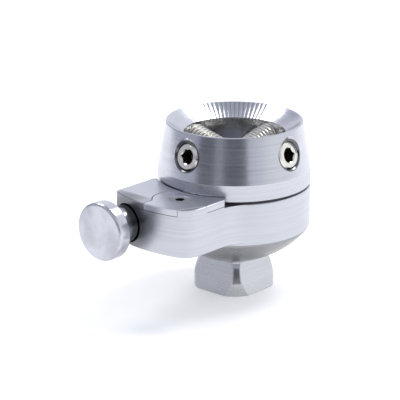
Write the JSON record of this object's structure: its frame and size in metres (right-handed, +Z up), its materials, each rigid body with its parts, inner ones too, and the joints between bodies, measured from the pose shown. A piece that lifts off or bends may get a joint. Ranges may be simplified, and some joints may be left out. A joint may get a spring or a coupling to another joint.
{
  "type": "prosthetic leg rotation adapter",
  "caption": "Rotation adapter for a modular leg prosthesis: pyramid receiver with tilted set screws, turning in a housing with a push-button lock, over a male pyramid.",
  "frame": {"origin": "on the main rotation axis, at the centre of the male pyramid's end face", "axes": "+Z up along the main rotation axis towards the receiver's mouth; the push button points along -X; the set screws lie along X and Y"},
  "size_m": [0.0712, 0.045, 0.0509],
  "materials": {
    "bright_aluminium": "fine turned and milled",
    "button_steel": "turned, polished edge",
    "pyramid_steel": "satin, fine turned",
    "screw_steel": "bright",
    "hardened_steel": "ground",
    "black_polymer": "satin black",
    "bronze": "satin",
    "spring_steel": "bright drawn"
  },
  "bodies": {
    "housing": {"housing": "bright_aluminium", "pyramid_adapter": "pyramid_steel", "cover_plate": "bright_aluminium", "cover_screw": "screw_steel", "glide_ring": "black_polymer", "dowel_pins": "hardened_steel", "bearing_outer_race": "hardened_steel", "bearing_balls": "hardened_steel", "bearing_cage": "bronze", "bearing_circlip": "spring_steel", "button_bush": "black_polymer", "pivot_post": "hardened_steel", "lever_spring": "spring_steel"},
    "receiver": {"receiver": "bright_aluminium", "index_ring": "hardened_steel", "index_ring_pins": "hardened_steel", "bearing_inner_race": "hardened_steel", "clamp_disc": "hardened_steel", "lock_washer": "spring_steel", "centre_bolt": "hardened_steel"},
    "set_screw_1": {"set_screw_1": "screw_steel"},
    "set_screw_2": {"set_screw_2": "screw_steel"},
    "set_screw_3": {"set_screw_3": "screw_steel"},
    "set_screw_4": {"set_screw_4": "screw_steel"},
    "push_button": {"push_button": "button_steel", "drive_pin": "hardened_steel"},
    "lock_lever": {"lock_lever": "hardened_steel", "lever_bush": "bronze"}
  },
  "joints": [
    {"name": "receiver_turn", "type": "hinge", "parent": "housing", "child": "receiver", "pos_m": [0, 0, 0.0251], "axis": [0, 0, 1], "continuous": true},
    {"name": "button_push", "type": "slide", "parent": "housing", "child": "push_button", "axis": [1, 0, 0], "range_m": [0, 0.004], "stiffness_N_per_m": 1500, "springref_m": -0.003},
    {"name": "lever_swing", "type": "hinge", "parent": "housing", "child": "lock_lever", "pos_m": [-0.0286, -0.0044, 0.0299], "axis": [0, 0, 1], "range_deg": [-17.7, 0], "deforming": ["lever_spring"]},
    {"name": "set_screw_1_travel", "type": "slide", "parent": "receiver", "child": "set_screw_1", "axis": [-0.9659, 0, 0.2588], "range_m": [-0.001, 0.005]},
    {"name": "set_screw_2_travel", "type": "slide", "parent": "receiver", "child": "set_screw_2", "axis": [0, -0.9659, 0.2588], "range_m": [-0.001, 0.005]},
    {"name": "set_screw_3_travel", "type": "slide", "parent": "receiver", "child": "set_screw_3", "axis": [0.9659, 0, 0.2588], "range_m": [-0.001, 0.005]},
    {"name": "set_screw_4_travel", "type": "slide", "parent": "receiver", "child": "set_screw_4", "axis": [0, 0.9659, 0.2588], "range_m": [-0.001, 0.005]}
  ],
  "couplings": [
    {"joint": "lever_swing", "follows": "button_push", "rad_per_m": -76.849}
  ]
}
